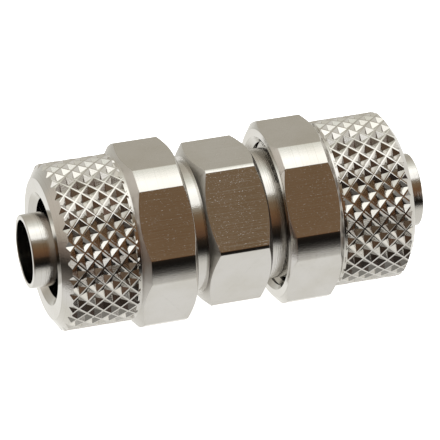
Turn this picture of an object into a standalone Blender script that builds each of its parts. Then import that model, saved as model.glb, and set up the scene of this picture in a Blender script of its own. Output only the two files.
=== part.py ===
"""Straight push-on union for flexible tube: a turned body with a hexagon, and two knurled clamping nuts.

The origin is the middle of the bore, +X runs along the bore towards the right nut, and +Z is up.
"""

import math

import bmesh
import bpy
from mathutils import Matrix

MM = 0.001

# Tube that is pushed over each spigot and clamped by its nut
TUBE_OUTER_RADIUS = 4.0 * MM
TUBE_INNER_RADIUS = 3.0 * MM
HOLE_CLEARANCE = 0.10 * MM  # nut's hole over the tube's outside
SPIGOT_GRIP = 0.03 * MM  # spigot over the tube's bore

# Union body
BORE_RADIUS = 2.6 * MM
BODY_HEX_WIDTH = 11.9 * MM
BODY_HEX_LENGTH = 5.36 * MM
BODY_HEX_EDGE_ROUND = 0.22 * MM
BODY_HEX_FACE_INSET = 0.27 * MM  # end face's radius below half the width across flats
BODY_HEX_CHAMFER = math.radians(30)
BODY_HEX_TURN = math.radians(-3)
NECK_LENGTH = 2.2 * MM
THREAD_CREST_RADIUS = 5.70 * MM
THREAD_DEPTH = 0.35 * MM
THREAD_PITCH = 1.0 * MM
THREAD_TURNS = 5
THREAD_LAND = 0.06 * MM  # half of the flat crest between two grooves
THREAD_RUN_IN = 0.10 * MM  # length of the thread's first flank
NOSE_LENGTH = 0.45 * MM
NOSE_TAPER = 1.1 * MM
SPIGOT_TIP_CHAMFER = 0.11 * MM
SPIGOT_PROTRUSION = 1.62 * MM  # past the nut's front, with the nut at its middle gap
OLIVE_HEIGHT = 0.42 * MM
OLIVE_LENGTH = 1.8 * MM
OLIVE_SETBACK = 3.2 * MM  # from the nut's front to the olive's peak

# Clamping nut; distances along it are counted from its front face
NUT_LENGTH = 11.0 * MM
NUT_HEX_LENGTH = 4.03 * MM
NUT_REAR_CHAMFER = 0.38 * MM
NUT_REAR_FACE_INSET = 0.05 * MM
NUT_SHOULDER_RISE = 1.5  # radius gained for each step along the cone between the land and the hexagon
NUT_CORNER_HEIGHT = 0.54 * MM  # turned corners above the flats
NUT_NOSE_LENGTH = 0.74 * MM
NUT_FRONT_FACE_WIDTH = 1.15 * MM
MOUTH_CHAMFER = 0.53 * MM
HOLE_LENGTH = 1.9 * MM
SEAT_LENGTH = 0.9 * MM
SEAT_RISE = 0.9 * MM
THREAD_CLEARANCE = 0.15 * MM  # nut's crests over the body's crests
NUT_THREAD_DEPTH = 0.25 * MM
NUT_THREAD_TURNS = 5
NUT_THREAD_INSET = 0.75 * MM  # from the rear face to the first groove
COUNTERSINK = 0.50 * MM
WALL_UNDER_KNURL = 0.35 * MM
KNURL_HEIGHT = 0.44 * MM  # depth of the diamond pits below the net of crests
KNURL_COUNT = 30
KNURL_HALF_PITCH = 0.702 * MM  # along the nut
KNURL_ROWS = 9  # half pitches along the band, the first of them cut away by the nose
KNURL_TURN = math.radians(7.2)  # also keeps the lattice's corners off the turned faces' corners
KNURL_TO_HEX = 0.886 * MM  # from the band's end to the full hexagon
CORE_UNDER_KNURL = 0.12 * MM  # turned core below the pits, inside the knurled sleeve
LAND_DROP = 0.17 * MM  # plain land's radius below the knurl's crests
LAND_OVERLAP = 0.13 * MM  # land's start inside the knurled sleeve
HEX_OVER_KNURL = 0.11 * MM  # flats above the knurl's crests

# Where the nuts stand: gaps from the hexagon's end faces
NUT_GAP = 1.20 * MM
LEFT_NUT_GAP = 1.29 * MM
RIGHT_NUT_GAP = 1.10 * MM

BODY_SIDES = 32
NUT_SIDES = 60
CAVITY_SIDES = 32
OVERSHOOT = 1.5 * MM  # cutters run this far past what they cut
CORNER_MARGIN = 0.2 * MM  # turned envelope of the body's hexagon past its corners
SHARP_ANGLE = math.radians(28)

# Sizes that follow
SPIGOT_RADIUS = TUBE_INNER_RADIUS + SPIGOT_GRIP
HOLE_RADIUS = TUBE_OUTER_RADIUS + HOLE_CLEARANCE
NECK_RADIUS = THREAD_CREST_RADIUS - THREAD_DEPTH
NUT_CREST_RADIUS = THREAD_CREST_RADIUS + THREAD_CLEARANCE
NUT_THREAD_ROOT = NUT_CREST_RADIUS + NUT_THREAD_DEPTH
KNURL_ROOT_RADIUS = NUT_THREAD_ROOT + WALL_UNDER_KNURL
KNURL_CREST_RADIUS = KNURL_ROOT_RADIUS + KNURL_HEIGHT
NUT_HEX_WIDTH = 2 * (KNURL_CREST_RADIUS + HEX_OVER_KNURL)
NUT_CORNER_RADIUS = NUT_HEX_WIDTH / 2 + NUT_CORNER_HEIGHT
NUT_HEX_START = NUT_LENGTH - NUT_HEX_LENGTH
KNURL_END = NUT_HEX_START - KNURL_TO_HEX
BODY_HEX_HALF = BODY_HEX_LENGTH / 2
BODY_HALF_LENGTH = BODY_HEX_HALF + NUT_GAP + NUT_LENGTH + SPIGOT_PROTRUSION

BRASS_NICKEL = (0.60, 0.57, 0.51, 1.0)
BODY_NICKEL = (0.56, 0.51, 0.43, 1.0)


def clear_scene():
    for item in list(bpy.data.objects):
        bpy.data.objects.remove(item, do_unlink=True)


def nickel(name, colour, roughness):
    material = bpy.data.materials.new(name)
    material.use_nodes = True
    shader = material.node_tree.nodes["Principled BSDF"]
    shader.inputs["Base Color"].default_value = colour
    shader.inputs["Metallic"].default_value = 1.0
    shader.inputs["Roughness"].default_value = roughness
    return material


def finish_object(name, mesh_data):
    bmesh.ops.recalc_face_normals(mesh_data, faces=mesh_data.faces)
    mesh = bpy.data.meshes.new(name)
    mesh_data.to_mesh(mesh)
    mesh_data.free()
    item = bpy.data.objects.new(name, mesh)
    bpy.context.collection.objects.link(item)
    return item


def turned(name, outline, sides):
    """Turn an outline of (x, radius) points about the X axis; it starts and ends on the axis."""
    shape = bmesh.new()
    points = [shape.verts.new((x, 0, radius)) for x, radius in outline]
    edges = [shape.edges.new(pair) for pair in zip(points, points[1:])]
    axis = (1, 0, 0)
    bmesh.ops.spin(
        shape, geom=points + edges, cent=(0, 0, 0), axis=axis, angle=2 * math.pi, steps=sides, use_merge=True
    )
    bmesh.ops.remove_doubles(shape, verts=shape.verts, dist=1e-4 * MM)
    return finish_object(name, shape)


def hexagon_bar(name, width, low, high, turn, edge_round=0.0):
    """A hexagonal bar along X; with no turn two of its flats face up and down."""
    shape = bmesh.new()
    corner = width / 2 / math.cos(math.pi / 6)
    angles = [turn + side * math.pi / 3 for side in range(6)]
    ring = [shape.verts.new((low, -corner * math.cos(a), corner * math.sin(a))) for a in angles]
    end = shape.faces.new(ring)
    extruded = bmesh.ops.extrude_face_region(shape, geom=[end])["geom"]
    moved = [item for item in extruded if isinstance(item, bmesh.types.BMVert)]
    bmesh.ops.translate(shape, verts=moved, vec=(high - low, 0, 0))
    if edge_round:
        long_edges = [e for e in shape.edges if abs(e.verts[0].co.x - e.verts[1].co.x) > (high - low) / 2]
        bmesh.ops.bevel(shape, geom=long_edges, offset=edge_round, segments=2, profile=0.5, affect="EDGES")
    return finish_object(name, shape)


def use_tool(item, tool, operation):
    tool.hide_render = True
    tool.display_type = "WIRE"
    modifier = item.modifiers.new(tool.name, "BOOLEAN")
    modifier.object = tool
    modifier.operation = operation
    modifier.solver = "EXACT"


def shade(item):
    """Smooth shading, with sharp edges where faces meet steeply."""
    for polygon in item.data.polygons:
        polygon.use_smooth = True
    item.data.set_sharp_from_angle(angle=SHARP_ANGLE)


def grooves(start, turns, crest, root):
    """V grooves of the thread's pitch, as (x, radius) points from start onwards."""
    points = []
    for turn in range(turns):
        x = start + turn * THREAD_PITCH
        end = x + THREAD_PITCH
        points += [(x + THREAD_LAND, crest), ((x + end) / 2, root), (end - THREAD_LAND, crest)]
    return points


def body_side():
    """Half of the body's turned outline, from the middle to the spigot's tip."""
    thread_start = BODY_HEX_HALF + NECK_LENGTH
    thread_end = thread_start + THREAD_TURNS * THREAD_PITCH
    nose = thread_end + NOSE_LENGTH
    peak = BODY_HEX_HALF + NUT_GAP + NUT_LENGTH - OLIVE_SETBACK
    shape = [(thread_start, NECK_RADIUS), (thread_start + THREAD_RUN_IN, THREAD_CREST_RADIUS)]
    shape += grooves(thread_start + THREAD_DEPTH, THREAD_TURNS - 1, THREAD_CREST_RADIUS, NECK_RADIUS)
    shape += [(thread_end, THREAD_CREST_RADIUS)]
    shape += [(nose, THREAD_CREST_RADIUS - NOSE_TAPER), (nose, SPIGOT_RADIUS)]
    for step in range(-3, 4):
        share = step / 3
        height = OLIVE_HEIGHT * math.cos(share * math.pi / 2)
        shape.append((peak + share * OLIVE_LENGTH / 2, SPIGOT_RADIUS + height))
    shape += [
        (BODY_HALF_LENGTH - SPIGOT_TIP_CHAMFER, SPIGOT_RADIUS),
        (BODY_HALF_LENGTH, SPIGOT_RADIUS - SPIGOT_TIP_CHAMFER),
        (BODY_HALF_LENGTH, 0),
    ]
    return shape


def make_union_body():
    right_half = body_side()
    left_half = [(-x, radius) for x, radius in reversed(right_half)]
    core = turned("body_core", left_half + right_half, BODY_SIDES)
    face_radius = BODY_HEX_WIDTH / 2 - BODY_HEX_FACE_INSET
    outer = BODY_HEX_WIDTH / 2 / math.cos(math.pi / 6) + CORNER_MARGIN
    chamfer_length = (outer - face_radius) * math.tan(BODY_HEX_CHAMFER)
    chamfers = turned(
        "body_hexagon_chamfers",
        [
            (-BODY_HEX_HALF, 0),
            (-BODY_HEX_HALF, face_radius),
            (-BODY_HEX_HALF + chamfer_length, outer),
            (BODY_HEX_HALF - chamfer_length, outer),
            (BODY_HEX_HALF, face_radius),
            (BODY_HEX_HALF, 0),
        ],
        NUT_SIDES,
    )
    end = BODY_HALF_LENGTH + OVERSHOOT
    bore = turned("body_bore", [(-end, 0), (-end, BORE_RADIUS), (end, BORE_RADIUS), (end, 0)], BODY_SIDES)
    reach = BODY_HEX_HALF + OVERSHOOT
    body = hexagon_bar("union_body", BODY_HEX_WIDTH, -reach, reach, BODY_HEX_TURN, BODY_HEX_EDGE_ROUND)
    use_tool(body, chamfers, "INTERSECT")
    use_tool(body, core, "UNION")
    use_tool(body, bore, "DIFFERENCE")
    body.data.materials.append(nickel("body_nickel", BODY_NICKEL, 0.28))
    shade(body)
    return body


def nut_blank():
    core = KNURL_ROOT_RADIUS - CORE_UNDER_KNURL
    land = KNURL_CREST_RADIUS - LAND_DROP
    land_start = KNURL_END - LAND_OVERLAP
    shoulder_length = (NUT_CORNER_RADIUS - land) / NUT_SHOULDER_RISE
    outline = [
        (-OVERSHOOT, 0),
        (-OVERSHOOT, core),
        (land_start, core),
        (land_start, land),
        (NUT_HEX_START - shoulder_length, land),
        (NUT_HEX_START, NUT_CORNER_RADIUS),
        (NUT_LENGTH - NUT_REAR_CHAMFER, NUT_CORNER_RADIUS),
        (NUT_LENGTH, NUT_HEX_WIDTH / 2 - NUT_REAR_FACE_INSET),
        (NUT_LENGTH, 0),
    ]
    return turned("nut_blank", outline, NUT_SIDES)


def knurled_sleeve():
    """A sleeve with diamond pits outside: a net of crests at 45 degrees, and a pit in each mesh."""
    sleeve = bmesh.new()
    start = KNURL_END - KNURL_ROWS * KNURL_HALF_PITCH
    inner_radius = NUT_THREAD_ROOT

    def ring_point(row, step, radius):
        x = start + row * KNURL_HALF_PITCH
        angle = KNURL_TURN + step * math.pi / KNURL_COUNT
        return sleeve.verts.new((x, -radius * math.cos(angle), radius * math.sin(angle)))

    around = 2 * KNURL_COUNT
    points = {}
    for row in range(KNURL_ROWS + 1):
        for step in range(around):
            radius = KNURL_CREST_RADIUS if (row + step) % 2 == 0 else KNURL_ROOT_RADIUS
            points[row, step] = ring_point(row, step, radius)
    for row in range(KNURL_ROWS):
        for step in range(around):
            following = (step + 1) % around
            near, far = points[row, step], points[row + 1, following]
            left, right = points[row + 1, step], points[row, following]
            if (row + step) % 2 == 0:
                sleeve.faces.new((near, left, far))
                sleeve.faces.new((near, far, right))
            else:
                sleeve.faces.new((left, far, right))
                sleeve.faces.new((left, right, near))
    for row in (0, KNURL_ROWS):
        inner = [ring_point(row, step, inner_radius) for step in range(around)]
        for step in range(around):
            following = (step + 1) % around
            sleeve.faces.new((points[row, step], points[row, following], inner[following], inner[step]))
        points["inner", row] = inner
    for step in range(around):
        following = (step + 1) % around
        first, last = points["inner", 0], points["inner", KNURL_ROWS]
        sleeve.faces.new((first[step], first[following], last[following], last[step]))
    return finish_object("nut_knurl", sleeve)


def nose_envelope():
    """Everything behind the nut's front face and the cone that chamfers it."""
    face_radius = HOLE_RADIUS + MOUTH_CHAMFER + NUT_FRONT_FACE_WIDTH
    slope = (KNURL_CREST_RADIUS - face_radius) / NUT_NOSE_LENGTH
    outer = NUT_CORNER_RADIUS + OVERSHOOT
    outline = [
        (0, 0),
        (0, face_radius),
        ((outer - face_radius) / slope, outer),
        (NUT_LENGTH + OVERSHOOT, outer),
        (NUT_LENGTH + OVERSHOOT, 0),
    ]
    return turned("nut_nose", outline, NUT_SIDES)


def nut_cavity():
    """The tube's hole, the seat that clamps the tube, the thread and the countersink, as one cutter."""
    mouth = HOLE_RADIUS + MOUTH_CHAMFER
    seat_end = HOLE_LENGTH + SEAT_LENGTH
    thread_start = NUT_LENGTH - NUT_THREAD_INSET - NUT_THREAD_TURNS * THREAD_PITCH
    sink = NUT_CREST_RADIUS + COUNTERSINK
    outline = [
        (-OVERSHOOT, 0),
        (-OVERSHOOT, mouth + OVERSHOOT),
        (MOUTH_CHAMFER, HOLE_RADIUS),
        (HOLE_LENGTH, HOLE_RADIUS),
        (seat_end, HOLE_RADIUS + SEAT_RISE),
        (seat_end + NUT_CREST_RADIUS - HOLE_RADIUS - SEAT_RISE, NUT_CREST_RADIUS),
    ]
    outline += grooves(thread_start, NUT_THREAD_TURNS, NUT_CREST_RADIUS, NUT_THREAD_ROOT)
    outline += [
        (NUT_LENGTH - COUNTERSINK, NUT_CREST_RADIUS),
        (NUT_LENGTH + OVERSHOOT, sink + OVERSHOOT),
        (NUT_LENGTH + OVERSHOOT, 0),
    ]
    return turned("nut_cavity", outline, CAVITY_SIDES)


def make_nut(name, side, gap):
    """A nut whose front faces away from the hexagon: side is -1 for the left nut and 1 for the right."""
    place = Matrix.Translation((side * (BODY_HEX_HALF + gap + NUT_LENGTH), 0, 0))
    if side > 0:
        place = place @ Matrix.Rotation(math.pi, 4, "Z")
    nut = nut_blank()
    nut.name = nut.data.name = name
    bar = hexagon_bar("nut_flats", NUT_HEX_WIDTH, -OVERSHOOT, NUT_LENGTH + OVERSHOOT, 0.0)
    tools = [
        (knurled_sleeve(), "UNION"),
        (nose_envelope(), "INTERSECT"),
        (bar, "INTERSECT"),
        (nut_cavity(), "DIFFERENCE"),
    ]
    for tool, operation in tools:
        tool.name = f"{name}_{tool.name}"
        tool.data.transform(place)
        use_tool(nut, tool, operation)
    nut.data.transform(place)
    nut.data.materials.append(nickel(f"{name}_nickel", BRASS_NICKEL, 0.22))
    shade(nut)
    return nut


clear_scene()
make_union_body()
make_nut("left_nut", -1, LEFT_NUT_GAP)
make_nut("right_nut", 1, RIGHT_NUT_GAP)
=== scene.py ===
# %% [markdown]
# # A straight tube union in nickel-plated brass
#
# This lesson builds the look of a small pneumatic fitting around a finished CAD model. The fitting is
# three pieces of metal: a turned body with a hexagon in the middle, and a knurled clamping nut on each
# end. The CAD model already moves and has the right sizes. Here it gets round surfaces, real threads,
# broken edges and the plating's finish.

import math

import bmesh
import bpy
from mathutils import Matrix, Vector


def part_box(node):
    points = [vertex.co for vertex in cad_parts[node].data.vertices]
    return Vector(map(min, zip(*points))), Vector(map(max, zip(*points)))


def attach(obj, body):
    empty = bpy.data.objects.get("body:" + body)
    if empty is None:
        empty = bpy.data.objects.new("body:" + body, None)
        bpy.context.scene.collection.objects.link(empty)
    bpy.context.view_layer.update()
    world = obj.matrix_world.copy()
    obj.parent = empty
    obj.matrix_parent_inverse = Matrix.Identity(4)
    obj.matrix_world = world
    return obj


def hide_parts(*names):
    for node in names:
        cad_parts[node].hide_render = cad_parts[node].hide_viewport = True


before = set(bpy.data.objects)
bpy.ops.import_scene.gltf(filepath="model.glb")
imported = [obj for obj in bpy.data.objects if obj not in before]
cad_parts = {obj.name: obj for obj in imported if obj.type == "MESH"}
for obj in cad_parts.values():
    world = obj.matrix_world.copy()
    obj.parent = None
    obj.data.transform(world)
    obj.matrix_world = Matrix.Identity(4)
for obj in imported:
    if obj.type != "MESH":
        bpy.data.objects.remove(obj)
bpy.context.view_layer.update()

# %% [markdown]
# ## Sizes
#
# The frame says where each piece stands, so the outer sizes are read from it: where the spigots end,
# where the nut starts, how long it is, and how far out its flats and corners are. The sizes that a box
# can't show, such as the bore or the thread, are named where they are used. Names in capitals are in
# millimetres, as on a drawing, with radii instead of diameters, and `MM` turns them into Blender's
# metres. Places read from the frame are in metres already.

# %% Read the outer sizes
MM = 0.001

_, body_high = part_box("union_body")
nut_low, nut_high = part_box("left_nut")
_, right_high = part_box("right_nut")

nut_front = nut_low.x
nut_flat = nut_high.z
TIP = round(body_high.x / MM, 2)
NUT_LENGTH = round((nut_high.x - nut_low.x) / MM, 2)
NUT_CORNER = round(nut_high.y / MM, 2)

print(f"{2 * TIP:.1f} mm over the spigots")
print(f"each nut is {NUT_LENGTH:.1f} mm long and {2000 * nut_flat:.1f} mm across flats")

# %% [markdown]
# ## Camera
#
# A long lens from a little over 30 cm, slightly above the fitting and to its left, so that the near
# spigot and the nut's front face show. A long lens keeps the far nut almost as large as the near one. The
# camera's axes are built from two angles, and a small roll tips the horizon.

# %% Aim the camera
AZIMUTH = math.radians(-16.35)
ELEVATION = math.radians(25.76)
ROLL = math.radians(-1.93)
DISTANCE = 321.5
FOCAL_LENGTH = 322.9
SENSOR = 36
AIM = Vector((-0.035, 0, 0.018))

towards_camera = Vector(
    (math.sin(AZIMUTH) * math.cos(ELEVATION), -math.cos(AZIMUTH) * math.cos(ELEVATION), math.sin(ELEVATION))
)
turn = towards_camera.to_track_quat("Z", "Y").to_matrix() @ Matrix.Rotation(ROLL, 3, "Z")
bpy.ops.object.camera_add(location=AIM * MM + towards_camera * (DISTANCE * MM), rotation=turn.to_euler())
camera = bpy.context.object
camera.name = "view_camera"
camera.data.lens = FOCAL_LENGTH
camera.data.sensor_width = SENSOR
camera.data.clip_start = 10 * MM
bpy.context.scene.camera = camera
print("camera stands at", [round(value, 4) for value in camera.location])

# %% [markdown]
# ## Writing shaders as sums
#
# Node trees are easier to read as arithmetic. `Signal` wraps one socket, so `1 - mask * 0.5` adds the
# Math nodes that say so. `Board` is the tree that they are added to, and its `node` method adds any other
# node: first its settings, then the values or links of its sockets.

# %% A socket that understands arithmetic
class Signal:
    def __init__(self, board, socket):
        self.board = board
        self.socket = socket

    def math(self, operation, *values):
        return self.board.node("Math", {"operation": operation}, [self, *values])

    def __add__(self, other):
        return self.math("ADD", other)

    def __sub__(self, other):
        return self.math("SUBTRACT", other)

    def __rsub__(self, other):
        return self.board.node("Math", {"operation": "SUBTRACT"}, [other, self])

    def __mul__(self, other):
        return self.math("MULTIPLY", other)

    def __truediv__(self, other):
        return self.math("DIVIDE", other)

    __radd__ = __add__
    __rmul__ = __mul__

    def rise(self, low, high):
        """0 below low, 1 above high, and smooth between; with low above high it falls."""
        settings = {"interpolation_type": "SMOOTHSTEP"}
        return self.board.node("MapRange", settings, {"Value": self, "From Min": low, "From Max": high})


class Board:
    def __init__(self, owner):
        owner.use_nodes = True
        self.tree = owner.node_tree
        self.tree.nodes.clear()

    def node(self, kind, settings=None, values=(), output=0):
        """Add a node, set it, feed its sockets from a list or a dictionary, and return one output."""
        added = self.tree.nodes.new("ShaderNode" + kind)
        for name, setting in (settings or {}).items():
            if name == "stops":
                self.fill_ramp(added.color_ramp, setting)
            else:
                setattr(added, name, setting)
        pairs = values.items() if isinstance(values, dict) else enumerate(values)
        for key, value in pairs:
            socket = added.inputs[key]
            if isinstance(value, Signal):
                self.tree.links.new(value.socket, socket)
            else:
                socket.default_value = value
        return Signal(self, added.outputs[output]) if added.outputs else None

    def fill_ramp(self, ramp, stops):
        ramp.interpolation = "EASE"
        while len(ramp.elements) < len(stops):
            ramp.elements.new(0.5)
        for element, (place, colour) in zip(ramp.elements, stops):
            element.position = place
            element.color = colour

    def split(self, vector):
        added = self.tree.nodes.new("ShaderNodeSeparateXYZ")
        self.tree.links.new(vector.socket, added.inputs[0])
        return [Signal(self, socket) for socket in added.outputs]

    def mix(self, factor, first, second):
        """Colour first where the factor is 0, second where it is 1: sockets 0, 6 and 7 of a colour mix."""
        added = self.tree.nodes.new("ShaderNodeMix")
        added.data_type = "RGBA"
        for place, value in ((0, factor), (6, first), (7, second)):
            if isinstance(value, Signal):
                self.tree.links.new(value.socket, added.inputs[place])
            else:
                added.inputs[place].default_value = value
        return Signal(self, added.outputs[2])


print("Signal and Board are ready")

# %% [markdown]
# ## Studio light
#
# Polished metal shows its surroundings, so the light is designed as what the metal should mirror. Long
# strips run along the fitting: a soft box overhead, a warm dark room behind the camera, a pale wall at
# the back and a pale sweep below. The strips are one colour ramp around the fitting's axis, which starts
# at the back, passes under the fitting, rises in front of it and closes over the top.

# %% Wrap the strips of light around the fitting
def stop(degrees, red, green, blue):
    """One stop of the studio's ramp: an angle around the fitting's axis, 0 in front and 90 overhead."""
    return ((degrees + 180) / 360, (red, green, blue, 1))


world = bpy.data.worlds.new("studio")
bpy.context.scene.world = world
studio = Board(world)
direction = studio.node("TexCoord")
along, across, up = studio.split(direction)
around = up.math("ARCTAN2", 0 - across) / (2 * math.pi) + 0.5
strips = studio.node(
    "ValToRGB",
    {
        "stops": [
            stop(-180, 0.66, 0.65, 0.60),
            stop(-150, 1.05, 1.04, 1.00),
            stop(-110, 0.92, 0.91, 0.87),
            stop(-85, 0.94, 0.93, 0.90),
            stop(-60, 0.92, 0.91, 0.88),
            stop(-48, 0.85, 0.84, 0.80),
            stop(-38, 0.62, 0.61, 0.58),
            stop(-27, 0.08, 0.075, 0.07),
            stop(-20, 0.010, 0.009, 0.008),
            stop(-4, 0.028, 0.020, 0.014),
            stop(9, 0.15, 0.078, 0.042),
            stop(22, 0.205, 0.110, 0.054),
            stop(41, 0.235, 0.160, 0.095),
            stop(53, 0.38, 0.34, 0.28),
            stop(62, 1.45, 1.45, 1.42),
            stop(90, 1.75, 1.75, 1.68),
            stop(99, 1.45, 1.45, 1.38),
            stop(108, 1.05, 1.06, 0.98),
            stop(122, 0.80, 0.78, 0.70),
            stop(137, 0.62, 0.58, 0.51),
            stop(156, 0.55, 0.52, 0.45),
            stop(180, 0.62, 0.60, 0.55),
        ]
    },
    [around],
)

# %% [markdown]
# The strips don't run on for ever. To the left and right the soft box ends and a brown wall stands above
# the horizon, while the pale sweep below goes all the way round. More ramps, by height, give the colours
# of the walls, and the room's near left corner is left unlit. All that isn't a mirror, the camera
# included, sees an even white instead of the room.

# %% End the strips at the sides
height = up.math("ARCSINE") / math.pi + 0.5


def level(degrees, red, green, blue):
    """One stop of a side wall: an angle above the horizon."""
    return ((degrees + 90) / 180, (red, green, blue, 1))


def wall(*stops):
    return studio.node("ValToRGB", {"stops": [level(*each) for each in stops]}, [height])


left_front = wall(
    (-90, 0.60, 0.58, 0.54),
    (-62, 0.40, 0.34, 0.28),
    (-50, 0.16, 0.11, 0.08),
    (-12, 0.11, 0.07, 0.045),
    (0, 0.31, 0.21, 0.16),
    (11, 0.20, 0.125, 0.08),
    (24, 0.23, 0.16, 0.11),
    (60, 0.22, 0.18, 0.12),
    (90, 0.30, 0.26, 0.20),
)
left_back = wall(
    (-90, 0.70, 0.69, 0.66),
    (-34, 0.95, 0.94, 0.92),
    (-27, 0.20, 0.18, 0.16),
    (-16, 0.04, 0.035, 0.03),
    (-7, 0.25, 0.20, 0.17),
    (2, 0.66, 0.60, 0.52),
    (24, 0.85, 0.80, 0.74),
    (45, 0.60, 0.54, 0.46),
    (90, 0.30, 0.26, 0.20),
)
right_front = wall(
    (-90, 0.95, 0.94, 0.91),
    (-40, 1.35, 1.34, 1.30),
    (-31, 0.08, 0.06, 0.05),
    (-12, 0.05, 0.04, 0.035),
    (-5, 1.10, 1.08, 1.02),
    (8, 1.20, 1.18, 1.12),
    (18, 0.14, 0.09, 0.065),
    (40, 0.12, 0.08, 0.055),
    (60, 0.35, 0.30, 0.25),
    (90, 0.80, 0.76, 0.70),
)
right_back = (0.85, 0.83, 0.78, 1)
behind = across.rise(-0.20, 0.06)
left_wall = studio.mix(behind, left_front, left_back)
right_wall = studio.mix(behind, right_front, right_back)
near_left_corner = along.rise(-0.10, -0.45) * across.rise(-0.25, -0.55) * 0.65
UNLIT = (0.03, 0.022, 0.016, 1)
room = studio.mix(near_left_corner, strips, UNLIT)
room = studio.mix(along.rise(-0.62, -0.78), room, left_wall)
room = studio.mix(along.rise(0.50, 0.68), room, right_wall)
mirrored_light = studio.node("LightPath", output="Is Glossy Ray")
EVEN_WHITE = (1, 1, 1, 1)
shown = studio.mix(mirrored_light, EVEN_WHITE, room)
studio.node("OutputWorld", None, [studio.node("Background", None, [shown, 1.0])])
bpy.context.scene.view_settings.view_transform = "Standard"
print("studio:", len(world.node_tree.nodes), "nodes")

# %% [markdown]
# ## Floor
#
# The fitting lies on the lower flats of its two nuts, so the floor is a plane just under them: a large
# subdivided sheet of matt white that is lit from below, like a light table, so that hardly any shadow is
# left. It stays out of the metal's reflections, because what the polished undersides mirror is the
# studio's pale sweep and not this plain sheet.

# %% Lay the floor
FLOOR_SIZE = 1600
FLOOR_GAP = 0.01
FLOOR_WHITE = (0.93, 0.93, 0.93, 1)


def clear_selection():
    """Operators act on all that is selected, and the CAD pieces arrive selected."""
    bpy.ops.object.select_all(action="DESELECT")


clear_selection()
bpy.ops.mesh.primitive_grid_add(
    x_subdivisions=8,
    y_subdivisions=8,
    size=FLOOR_SIZE * MM,
    location=(0, 0, nut_low.z - FLOOR_GAP * MM),
)
floor = bpy.context.object
floor.name = "floor"
bpy.ops.object.transform_apply(location=True, rotation=True, scale=True)
matt = Board(bpy.data.materials.new("floor_matt_white"))
glow = {"Emission Color": (1, 1, 1, 1), "Emission Strength": 0.95}
sheet = matt.node("BsdfPrincipled", None, {"Base Color": FLOOR_WHITE, "Roughness": 0.9, **glow})
matt.node("OutputMaterial", None, [sheet])
floor.data.materials.append(bpy.data.materials["floor_matt_white"])
floor.visible_glossy = False
print(f"floor at z = {1000 * floor.data.vertices[0].co.z:.2f} mm")

# %% [markdown]
# ## Turning on the lathe
#
# The body and the nuts are turned from bar on a lathe, and Blender's spin does the same. A plane is
# merged to a single vertex, the vertex is extruded from point to point along the outline, and the outline
# is spun about the X axis. The outline is closed, because the pieces are hollow: it runs along the
# outside and comes back along the bore. Another way is to stack cylinders and join them, but then every
# fillet would have to be added afterwards.
#
# No real edge is perfectly sharp, and a small radius catches the light as a thin bright line. `filleted`
# swaps a corner of the outline for an arc.

# %% Outline and spin helpers
FILLET_STEPS = 4
ROUND_SIDES = 160
TINY = 1e-7  # metres: corners as near as this are one


def filleted(points):
    """Turn (x, radius, fillet) corners in millimetres into a closed outline in metres, with its arcs."""
    outline = []
    for index, corner in enumerate(points):
        here = Vector(corner[:2])
        if len(corner) < 3:
            outline.append(here * MM)
            continue
        back = (Vector(points[index - 1][:2]) - here).normalized()
        ahead = (Vector(points[(index + 1) % len(points)][:2]) - here).normalized()
        half_angle = back.angle(ahead) / 2
        centre = here + (back + ahead).normalized() * corner[2] / math.sin(half_angle)
        reach = corner[2] / math.tan(half_angle)
        first, last = here + back * reach - centre, here + ahead * reach - centre
        for step in range(FILLET_STEPS + 1):
            towards = first.slerp(last, step / FILLET_STEPS).normalized()
            outline.append((centre + towards * corner[2]) * MM)
    return [(point.x, point.y) for point in outline]


def trace(name, outline):
    """Draw a closed outline of (x, radius) with one vertex, and stay in edit mode."""
    clear_selection()
    bpy.ops.mesh.primitive_plane_add(size=MM, enter_editmode=True)
    piece = bpy.context.object
    piece.name = piece.data.name = name
    bpy.ops.mesh.select_mode(type="VERT")
    bpy.ops.mesh.select_all(action="SELECT")
    bpy.ops.mesh.merge(type="CENTER")
    bpy.ops.transform.translate(value=(outline[0][0], 0, outline[0][1]))
    for (x, radius), (next_x, next_radius) in zip(outline, outline[1:] + outline[:1]):
        stretch = (next_x - x, 0, next_radius - radius)
        bpy.ops.mesh.extrude_vertices_move(TRANSFORM_OT_translate={"value": stretch})
    bpy.ops.mesh.select_all(action="SELECT")
    bpy.ops.mesh.remove_doubles(threshold=TINY)
    return piece


def turned(name, points):
    """Turn a closed outline about the X axis."""
    piece = trace(name, filleted(points))
    bpy.ops.mesh.spin(steps=ROUND_SIDES, angle=2 * math.pi, center=(0, 0, 0), axis=(1, 0, 0))
    bpy.ops.mesh.select_all(action="SELECT")
    bpy.ops.mesh.remove_doubles(threshold=TINY)
    bpy.ops.mesh.normals_make_consistent(inside=False)
    bpy.ops.object.mode_set(mode="OBJECT")
    return piece


def describe(piece):
    """Say how large a piece is and whether it is closed."""
    mesh = bmesh.new()
    mesh.from_mesh(piece.data)
    open_edges = sum(not edge.is_manifold for edge in mesh.edges)
    volume = mesh.calc_volume() * 1e9
    mesh.free()
    size = ", ".join(f"{1000 * value:.2f}" for value in piece.dimensions)
    faces = len(piece.data.polygons)
    print(f"{piece.name}: {faces} faces, {size} mm, {volume:.1f} mm3, {open_edges} open edges")


# %% [markdown]
# ## The body's blank
#
# One turned blank holds everything that is round on the body: the two spigots that go into the tubes,
# each with its raised olive, the noses, the threaded barrels, the necks and a disc in the middle for the
# hexagon. The disc's sides are cones at 30 degrees, which is how a turner takes the sharp corners off a
# hexagon.

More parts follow.
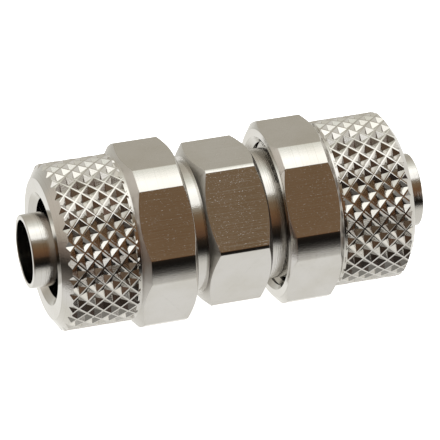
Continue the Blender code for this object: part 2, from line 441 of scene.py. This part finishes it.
# %% Turn the body's blank
BORE = 2.60
SPIGOT = 3.03
OLIVE_MIDDLE = 11.68
OLIVE_HALF = 0.90
OLIVE_RISE = 0.42
OLIVE_STEPS = 3
NOSE_FRONT = 10.33
NOSE_FACE = 4.60
THREAD_CREST = 5.70
THREAD_START = 4.92
THREAD_END = 9.88
NECK = 5.35
NECK_END = 4.70
HEX_HALF = 2.68
HEX_FACE = 5.68
CORNER_HALF = 2.045
BODY_CORNER = 6.78


def olive():
    """The bulge on a spigot: half a wave, to a hundredth of a millimetre."""
    points = []
    for step in range(OLIVE_STEPS, -OLIVE_STEPS - 1, -1):
        part = step / OLIVE_STEPS
        rise = OLIVE_RISE * math.cos(part * math.pi / 2)
        points.append((round(OLIVE_MIDDLE + OLIVE_HALF * part, 2), round(SPIGOT + rise, 2)))
    return points


BODY_BLANK = [
    (TIP, BORE, 0.05),
    (TIP, SPIGOT, 0.11),
    *olive(),
    (NOSE_FRONT, SPIGOT),
    (NOSE_FRONT, NOSE_FACE, 0.08),
    (THREAD_END, THREAD_CREST, 0.08),
    (THREAD_START, THREAD_CREST, 0.05),
    (NECK_END, NECK, 0.05),
    (HEX_HALF, NECK),
    (HEX_HALF, HEX_FACE, 0.06),
    (CORNER_HALF, BODY_CORNER, 0.04),
]


def mirrored(points):
    """The other half of an outline that is the same at both ends."""
    return [(-x, *rest) for x, *rest in reversed(points)]


body = turned("union_body_turned", BODY_BLANK + mirrored(BODY_BLANK))
describe(body)

# %% [markdown]
# ## Milling the hexagon
#
# The real flats are the faces of the drawn hexagonal bar that the fitting is turned from, so they cut off
# the disc at six places. Bisect does that here: it slices the mesh along a plane, throws away what is
# outside and fills the cut. A Boolean with a hexagonal prism would do the same, but a slice leaves the
# cleaner mesh. The new edges are then bevelled a few hundredths of a millimetre, because tumbling and
# plating round them.

# %% Mill flats and break their edges
BODY_FLAT = 5.95
BODY_TURN = math.radians(-3)
BROKEN_EDGE = 0.035


def mill_flats(piece, distance, first_turn):
    """Slice six flats at a distance in metres from the X axis; with no turn two of them face up and down."""
    clear_selection()
    piece.select_set(True)
    bpy.context.view_layer.objects.active = piece
    bpy.ops.object.mode_set(mode="EDIT")
    for side in range(6):
        angle = first_turn + side * math.pi / 3
        outward = (0, -math.sin(angle), math.cos(angle))
        bpy.ops.mesh.select_all(action="SELECT")
        bpy.ops.mesh.bisect(
            plane_co=[distance * part for part in outward],
            plane_no=outward,
            use_fill=True,
            clear_outer=True,
            threshold=TINY,
        )
    bpy.ops.object.mode_set(mode="OBJECT")


def flat_edges(mesh, distance):
    """The edges between a flat and what isn't flat. Only a flat has a long rim and lies along the X axis."""
    def is_flat(face):
        off_plane = abs(face.calc_center_median().dot(face.normal) - distance)
        return len(face.verts) > 8 and off_plane < 0.02 * MM and abs(face.normal.x) < 0.01

    return [edge for edge in mesh.edges if sum(is_flat(face) for face in edge.link_faces) == 1]


def break_flat_edges(piece, distance):
    bpy.ops.object.mode_set(mode="EDIT")
    bpy.ops.mesh.select_mode(type="EDGE")
    bpy.ops.mesh.select_all(action="DESELECT")
    mesh = bmesh.from_edit_mesh(piece.data)
    edges = flat_edges(mesh, distance)
    for edge in edges:
        edge.select_set(True)
    bmesh.update_edit_mesh(piece.data)
    bpy.ops.mesh.bevel(offset=BROKEN_EDGE * MM, segments=2, affect="EDGES")
    bpy.ops.object.mode_set(mode="OBJECT")
    print(f"{piece.name}: {len(edges)} edges of flats bevelled {BROKEN_EDGE} mm")


mill_flats(body, BODY_FLAT * MM, BODY_TURN)
describe(body)

# %% [markdown]
# ## Threads
#
# A thread is a V groove that winds along the barrel. The groove's cutter is the V, traced as an outline
# and wound by the Screw modifier, and a Boolean takes it away. Both ends of the helix lie in free air, so
# the groove runs in and out as it does behind a real die. The nuts get their inside thread from the same
# cutter, pointing outwards.

# %% Cut the body's two threads
PITCH = 1.0
THREAD_TURNS = 7
TURN_STEPS = 90
GROOVE_ROOT_HALF = 0.06
GROOVE_CREST_HALF = 0.42
CUTTER_PAST_CREST = 0.12
BODY_GROOVE_START = 4.42
BODY_GROOVE_ROOT = 0.01  # above the neck


def thread_cutter(name, start, root, crest, outwards):
    """A helix of V section, in metres: root and crest are radii, and it opens at the crest."""
    past = CUTTER_PAST_CREST * MM * (-1 if outwards else 1)
    half_root, half_crest = GROOVE_ROOT_HALF * MM, GROOVE_CREST_HALF * MM
    slope = (half_crest - half_root) / (crest - root)
    half_past = half_crest + slope * past
    section = [
        (start - half_past, crest + past),
        (start - half_root, root),
        (start + half_root, root),
        (start + half_past, crest + past),
    ]
    cutter = trace(name, section)
    bpy.ops.object.mode_set(mode="OBJECT")
    winding = cutter.modifiers.new("winding", "SCREW")
    winding.axis = "X"
    winding.screw_offset = PITCH * MM
    winding.iterations = THREAD_TURNS
    winding.steps = winding.render_steps = TURN_STEPS
    bpy.ops.object.modifier_apply(modifier=winding.name)
    bpy.ops.object.mode_set(mode="EDIT")
    bpy.ops.mesh.select_all(action="SELECT")
    bpy.ops.mesh.fill_holes(sides=0)
    bpy.ops.mesh.select_all(action="SELECT")
    bpy.ops.mesh.normals_make_consistent(inside=False)
    bpy.ops.object.mode_set(mode="OBJECT")
    return cutter


def combine(piece, tool, operation):
    """Join or cut with a tool piece, and remove the tool."""
    clear_selection()
    piece.select_set(True)
    bpy.context.view_layer.objects.active = piece
    modifier = piece.modifiers.new(tool.name, "BOOLEAN")
    modifier.object = tool
    modifier.operation = operation
    modifier.solver = "EXACT"
    bpy.ops.object.modifier_apply(modifier=modifier.name)
    bpy.data.objects.remove(tool)


def turn_about_z(piece):
    """Turn a piece half round, end for end, and keep the turn in its mesh."""
    clear_selection()
    piece.select_set(True)
    bpy.context.view_layer.objects.active = piece
    piece.rotation_euler.z = math.pi
    bpy.ops.object.transform_apply(location=True, rotation=True, scale=True)


groove_start = BODY_GROOVE_START * MM
groove_root = NECK * MM + BODY_GROOVE_ROOT * MM
for end in ("left", "right"):
    cutter = thread_cutter("body_thread_cutter", groove_start, groove_root, THREAD_CREST * MM, False)
    if end == "left":
        turn_about_z(cutter)
    combine(body, cutter, "DIFFERENCE")
describe(body)
break_flat_edges(body, BODY_FLAT * MM)
describe(body)

# %% [markdown]
# ## Smooth shading
#
# Round faces should shade as one surface and the corners should stay crisp. Smooth shading by angle does
# both, and the Weighted Normal modifier then lets the large flat faces win over their thin bevels, so
# that flats stay flat.

# %% Shade a finished piece
SMOOTH_BELOW = math.radians(32)
FLAT_FACES_WIN = 50


def shade(piece):
    clear_selection()
    piece.select_set(True)
    bpy.context.view_layer.objects.active = piece
    bpy.ops.object.shade_smooth_by_angle(angle=SMOOTH_BELOW)
    weighting = piece.modifiers.new("weighted_normals", "WEIGHTED_NORMAL")
    weighting.keep_sharp = True
    weighting.weight = FLAT_FACES_WIN
    bpy.ops.object.modifier_apply(modifier=weighting.name)


shade(body)
print("smooth faces:", sum(face.use_smooth for face in body.data.polygons))

# %% [markdown]
# ## The nut's blank
#
# The nut is a hollow turning with its flats at the inner end. Its inside is a plain hole for the tube, a
# cone that squeezes the tube onto the olive, and the bore for the thread. Its outline is counted from the
# nut's front face. The front is left a little long, because it is faced and chamfered after the knurl is
# on.

# %% Turn the nut's blank and mill its flats
def along_nut(points):
    """Shift an outline that is counted from the nut's front to where the left nut stands."""
    return [(x + 1000 * nut_front, *rest) for x, *rest in points]


SPARE = 0.30
HOLE = 4.10
SEAT_START = 1.90
SEAT_END = 2.80
SEAT = 5.00
NUT_CREST = 5.85
NUT_BORE_START = 3.65
COUNTERSINK_START = 10.50
COUNTERSINK = 6.35
BACK_FACE = 6.95
BACK_CONE_START = 10.62
UNDER_KNURL = 6.33
LAND_START = 6.00
LAND_END = 6.42
LAND = 6.72
SHOULDER_END = 6.97

NUT_BLANK = [
    (-SPARE, HOLE),
    (-SPARE, UNDER_KNURL),
    (LAND_START, UNDER_KNURL),
    (LAND_START + 0.10, LAND),
    (LAND_END, LAND, 0.15),
    (SHOULDER_END, NUT_CORNER, 0.05),
    (BACK_CONE_START, NUT_CORNER, 0.05),
    (NUT_LENGTH, BACK_FACE, 0.05),
    (NUT_LENGTH, COUNTERSINK, 0.05),
    (COUNTERSINK_START, NUT_CREST),
    (NUT_BORE_START, NUT_CREST),
    (SEAT_END, SEAT),
    (SEAT_START, HOLE),
]

left_nut = turned("left_nut_knurled", along_nut(NUT_BLANK))
mill_flats(left_nut, nut_flat, 0)
describe(left_nut)

# %% [markdown]
# ## The knurl
#
# A knurling wheel with raised diamonds presses rows of pits into the barrel and leaves a net of crests
# between them, at about 45 degrees. The mesh is a tube of 60 columns, cut into rows as deep as half a
# pit. Every second corner, as on a chequerboard, is raised to the net's height, and the quads are then
# split along their longer diagonal, which is a crest. A bump map would be cheaper, but the crests show at
# the nut's outline and the pits mirror the room.

# %% Raise the net of crests
KNURL_ROOT = 6.45
KNURL_TIP = 6.89
KNURL_COUNT = 30
KNURL_ROWS = 10
HALF_PIT = 0.702
KNURL_LEAD = 0.234  # past the nut's front face
KNURL_TURN = math.radians(-1.2)

knurl_root = KNURL_ROOT * MM
knurl_tip = KNURL_TIP * MM
row_depth = HALF_PIT * MM
knurl_start = nut_front - KNURL_LEAD * MM
knurl_length = KNURL_ROWS * row_depth


def select_where(piece, test, kind):
    """In edit mode, select the vertices or edges that pass a test."""
    bpy.ops.mesh.select_mode(type=kind)
    bpy.ops.mesh.select_all(action="DESELECT")
    mesh = bmesh.from_edit_mesh(piece.data)
    for part in {"VERT": mesh.verts, "EDGE": mesh.edges}[kind]:
        if test(part):
            part.select_set(True)
    bmesh.update_edit_mesh(piece.data)


clear_selection()
upright = Matrix.Rotation(math.pi / 2, 3, "Y") @ Matrix.Rotation(KNURL_TURN, 3, "Z")
bpy.ops.mesh.primitive_cylinder_add(
    vertices=2 * KNURL_COUNT,
    radius=knurl_root,
    depth=knurl_length,
    end_fill_type="NOTHING",
    location=(knurl_start + knurl_length / 2, 0, 0),
    rotation=upright.to_euler(),
)
knurl = bpy.context.object
knurl.name = knurl.data.name = "nut_knurl"
bpy.ops.object.transform_apply(location=True, rotation=True, scale=True)
bpy.ops.object.mode_set(mode="EDIT")
select_where(knurl, lambda edge: abs(edge.verts[0].co.x - edge.verts[1].co.x) > knurl_length / 2, "EDGE")
bpy.ops.mesh.subdivide(number_cuts=KNURL_ROWS - 1)


def is_crossing(vertex):
    """Every second corner of the tube, as on a chequerboard."""
    row = round((vertex.co.x - knurl_start) / row_depth)
    column = round((math.atan2(vertex.co.z, vertex.co.y) - KNURL_TURN) / (math.pi / KNURL_COUNT))
    return (row + column) % 2 == 0


select_where(knurl, is_crossing, "VERT")
crossings = sum(vertex.select for vertex in bmesh.from_edit_mesh(knurl.data).verts)
grow = knurl_tip / knurl_root
bpy.ops.transform.resize(value=(1, grow, grow), center_override=(0, 0, 0))
bpy.ops.mesh.select_all(action="SELECT")
bpy.ops.mesh.quads_convert_to_tris(quad_method="LONGEST_DIAGONAL")
bpy.ops.object.mode_set(mode="OBJECT")
print(f"{crossings} crossings, {len(knurl.data.polygons)} faces")

# %% [markdown]
# The tube becomes a solid sleeve. Its two open ends are extruded, each new corner is brought in to one
# radius, and a bridge joins the ends along the inside. No two pits are pressed quite alike, so the
# crossings are moved a few hundredths of a millimetre at random. Then the crests are bevelled. The metal
# that the wheel squeezes up from both sides doesn't quite meet, so a crest has two lips with a seam
# between them: a hollow bevel profile gives both. The wheel stops short of the hexagon in the middle of a
# row, so a turned ring cuts that end of the sleeve off square.

# %% Close the sleeve, open the seams and put it on the blank
SLEEVE_BORE = 6.20
UNEVENNESS = 0.03
CREST_WIDTH = 0.09
KNURL_END = 6.234
RING_END = 7.5
RING_INNER = 6.0
RING_OUTER = 7.5
END_RING = [(KNURL_END, RING_INNER), (KNURL_END, RING_OUTER), (RING_END, RING_OUTER), (RING_END, RING_INNER)]


def reach(vertex):
    return math.hypot(vertex.co.y, vertex.co.z)


def is_end_corner(vertex, radius):
    return vertex.is_boundary and abs(reach(vertex) - radius) < 0.01 * MM


def is_crest(edge):
    """Both of the edge's corners are crossings, and it doesn't lie in an end of the sleeve."""
    return min(reach(vertex) for vertex in edge.verts) > knurl_tip - TINY


bpy.ops.object.mode_set(mode="EDIT")
select_where(knurl, lambda edge: edge.is_boundary, "EDGE")
bpy.ops.mesh.extrude_region_move()
for radius in (knurl_tip, knurl_root):
    select_where(knurl, lambda vertex: is_end_corner(vertex, radius), "VERT")
    shrink = SLEEVE_BORE * MM / radius
    bpy.ops.transform.resize(value=(1, shrink, shrink), center_override=(0, 0, 0))
select_where(knurl, lambda edge: edge.is_boundary, "EDGE")
bpy.ops.mesh.bridge_edge_loops()
bpy.ops.mesh.select_all(action="SELECT")
bpy.ops.mesh.normals_make_consistent(inside=False)
select_where(knurl, is_crest, "EDGE")
bpy.ops.transform.vertex_random(offset=UNEVENNESS * MM, seed=5)
bpy.ops.mesh.bevel(offset=CREST_WIDTH * MM, segments=4, profile=0.15, affect="EDGES")
bpy.ops.object.mode_set(mode="OBJECT")
describe(knurl)
combine(knurl, turned("knurl_end_tool", along_nut(END_RING)), "DIFFERENCE")
combine(left_nut, knurl, "UNION")
describe(left_nut)

# %% [markdown]
# ## Facing the nut
#
# Last comes the front: one turned ring takes off the spare length, cuts the cone that runs into the knurl
# and chamfers the hole's mouth at 45 degrees. Its outline has the fillets, so the cut leaves rounded
# corners. The inside thread follows.

# %% Face, chamfer and thread the nut
FRONT_FACE = 5.78
MOUTH = 4.63
CLEAR_AHEAD = -1.5
CLEAR_OUTSIDE = 9.50
CLEAR_INSIDE = 3.80
FRONT_CONE_RISE = 1.5  # for each millimetre back from the face
NUT_ROOT = 6.10
NUT_GROOVE_START = 4.9

FACING = [
    (CLEAR_AHEAD, CLEAR_INSIDE),
    (CLEAR_AHEAD, CLEAR_OUTSIDE),
    (round((CLEAR_OUTSIDE - FRONT_FACE) / FRONT_CONE_RISE, 2), CLEAR_OUTSIDE),
    (0, FRONT_FACE, 0.07),
    (0, MOUTH, 0.06),
    (round(MOUTH - CLEAR_INSIDE, 2), CLEAR_INSIDE),
]

combine(left_nut, turned("facing_tool", along_nut(FACING)), "DIFFERENCE")
groove_start = nut_front + NUT_GROOVE_START * MM
cutter = thread_cutter("nut_thread_cutter", groove_start, NUT_ROOT * MM, NUT_CREST * MM, True)
combine(left_nut, cutter, "DIFFERENCE")
describe(left_nut)
break_flat_edges(left_nut, nut_flat)
describe(left_nut)
shade(left_nut)

# %% [markdown]
# ## The second nut
#
# The right nut is the same part, turned end for end. It gets a mesh of its own, so that each can be
# finished alone.

# %% Copy the nut to the right
bpy.ops.object.duplicate(linked=False)
right_nut = bpy.context.object
right_nut.name = right_nut.data.name = "right_nut_knurled"
turn_about_z(right_nut)
bpy.ops.transform.translate(value=(right_high.x + nut_front, 0, 0))
bpy.ops.object.transform_apply(location=True, rotation=True, scale=True)
describe(right_nut)

# %% [markdown]
# ## Nickel
#
# All three pieces are brass with a bright nickel plating, slightly warm. One function makes the plating:
# its colour and its roughness wander a little, and its bump is what the tool left under it. Four sets of
# tool marks share it: the turned surfaces, the drawn flats, the satin cones beside the flats, and the
# knurl.

# %% Plating
NICKEL = (0.65, 0.635, 0.612, 1)
STAINED_NICKEL = (0.60, 0.58, 0.54, 1)
# Dark brown that is mixed in for the duller turned rings, and as painted shade in the knurl's pits.
DULL_AND_SHADED_NICKEL = (0.20, 0.17, 0.13, 1)
BUMP_HEIGHT = 0.01


def plating(name, tool_marks, roughness, strength):
    """Nickel over a surface; tool_marks gives its bump, its darker tone and painted shade, and how much
    duller it is.
    """
    board = Board(bpy.data.materials.new(name))
    position = board.node("TexCoord", output="Object")
    patches = board.node("TexNoise", None, {"Vector": position, "Scale": 260, "Detail": 3})
    colour = board.mix(patches.rise(0.3, 0.7), NICKEL, STAINED_NICKEL)
    _, across_y, up_z = board.split(position)
    radius = (across_y * across_y + up_z * up_z).math("SQRT")
    height, dark_tone_and_painted_shade, blur = tool_marks(board, position, radius)
    relief = {"Strength": strength, "Distance": BUMP_HEIGHT * MM, "Height": height}
    metal = {
        # Darker where tool_marks says: the real duller rings, and painted shade in the bottoms of the
        # knurl's pits.
        "Base Color": board.mix(dark_tone_and_painted_shade, colour, DULL_AND_SHADED_NICKEL),
        "Metallic": 1.0,
        "Roughness": roughness + patches * 0.04 + blur,
        "Normal": board.node("Bump", None, relief),
    }
    board.node("OutputMaterial", None, [board.node("BsdfPrincipled", None, metal)])
    return bpy.data.materials[name]


def fine_grain(board, position):
    """The plating's own grain, a tenth of a millimetre and less."""
    return board.node("TexNoise", None, {"Vector": position, "Scale": 9000, "Detail": 2, "Roughness": 0.6})


def stretched(board, position, scale):
    """Noise with its own scale along each axis: where the scale is low, a spot is drawn out into a line."""
    mapped = board.node("Mapping", None, {"Vector": position, "Scale": scale})
    return board.node("TexNoise", None, {"Vector": mapped, "Scale": 1, "Detail": 3})


def turned_marks(board, position, radius):
    """Fine rings left by the turning tool, some of them duller and darker."""
    along_x = board.split(position)[0]
    rings = board.node("TexNoise", {"noise_dimensions": "1D"}, {"W": along_x, "Scale": 14000, "Detail": 2})
    dull_rings = rings.rise(0.60, 0.75)
    return rings + fine_grain(board, position) * 1.2, dull_rings * 0.15, dull_rings * 0.06


def drawn_marks(board, position, radius):
    """Lines along the bar, as the drawing die leaves them, and small rough spots and knocks."""
    lines = stretched(board, position, (160, 7000, 7000))
    scratches = stretched(board, position, (200, 9000, 9000)).rise(0.55, 0.75)
    spots = stretched(board, position, (8000, 12000, 12000)).rise(0.60, 0.74)
    knocks = stretched(board, position, (3000, 5000, 5000)).rise(0.72, 0.78)
    height = lines * 2 + fine_grain(board, position) + scratches * 0.5 + spots + knocks * 2
    return height, 0, scratches * 0.12 + spots * 0.16 + knocks * 0.15


def chamfer_marks(board, position, radius):
    """Nothing but the grain, on an even satin."""
    grain = fine_grain(board, position)
    return grain, 0, grain * 0.05


def knurl_marks(board, position, radius):
    """The bottoms of the pits are painted darker, as painted shade where they are deepest."""
    grain = fine_grain(board, position)
    # Painted shade: the nickel is darker towards the bottoms of the pits.
    dark_tone_and_painted_shade = radius.rise(knurl_root + 0.07 * MM, knurl_root) * 0.5
    return grain, dark_tone_and_painted_shade, grain * 0.04


turned_nickel = plating("turned_nickel", turned_marks, 0.05, 0.5)
drawn_nickel = plating("drawn_nickel", drawn_marks, 0.04, 0.45)
chamfer_nickel = plating("chamfer_nickel", chamfer_marks, 0.30, 0.5)
knurl_nickel = plating("knurl_nickel", knurl_marks, 0.06, 0.5)
print("platings:", turned_nickel.name, drawn_nickel.name, chamfer_nickel.name, knurl_nickel.name)

# %% [markdown]
# ## Which face wears which finish
#
# A face's place and the way that it looks say which tool made it. Flats lie along the axis at a known
# distance from it. The satin cones lean, and lie beside the flats. What is left inside the knurl's band,
# and doesn't lean as much as the front face's cone, is knurl. Everything else was turned.

# %% Give each face its finish
TURNED, DRAWN, CHAMFERED, KNURLED = range(4)
SHOULDER = (6.30, 7.10)


def finish_faces(piece, flat_distance, cones, band=(0, 0)):
    """All in metres: the flats' distance from the axis, and where the cones and the knurl start and end."""
    for material in (turned_nickel, drawn_nickel, chamfer_nickel, knurl_nickel):
        piece.data.materials.append(material)
    for face in piece.data.polygons:
        middle, lean = face.center, abs(face.normal.x)
        distance = math.hypot(middle.y, middle.z)
        beside_flats = cones[0] < middle.x < cones[1] and distance > HEX_FACE * MM
        in_band = band[0] < middle.x < band[1] and distance > knurl_root - 0.1 * MM
        if lean < 0.01 and abs(middle.dot(face.normal) - flat_distance) < 0.01 * MM:
            face.material_index = DRAWN
        elif beside_flats and 0.3 < lean < 0.95:
            face.material_index = CHAMFERED
        elif in_band and lean < 0.75:
            face.material_index = KNURLED


shoulder = (nut_front + SHOULDER[0] * MM, nut_front + SHOULDER[1] * MM)
mirrored_shoulder = (right_high.x - SHOULDER[1] * MM, right_high.x - SHOULDER[0] * MM)
knurl_end = nut_front + KNURL_END * MM
mirrored_knurl_end = right_high.x + nut_front - knurl_end
finish_faces(body, BODY_FLAT * MM, (-HEX_HALF * MM - TINY, HEX_HALF * MM + TINY))
finish_faces(left_nut, nut_flat, shoulder, (nut_front, knurl_end))
finish_faces(right_nut, nut_flat, mirrored_shoulder, (mirrored_knurl_end, right_high.x))
for piece in (body, left_nut, right_nut):
    worn = [face.material_index for face in piece.data.polygons]
    counts = [worn.count(finish) for finish in (TURNED, DRAWN, CHAMFERED, KNURLED)]
    print(f"{piece.name}: turned, drawn, chamfered and knurled faces: {counts}")

# %% [markdown]
# ## Join the pieces to the moving frame
#
# Each piece rides on the CAD body of its name, and stands for the CAD node there.

# %% Ride and replace
for piece, node, slot in (
    (body, "union_body", "body_plating"),
    (left_nut, "left_nut", "nut_plating"),
    (right_nut, "right_nut", "nut_plating"),
):
    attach(piece, node)
    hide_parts(node)
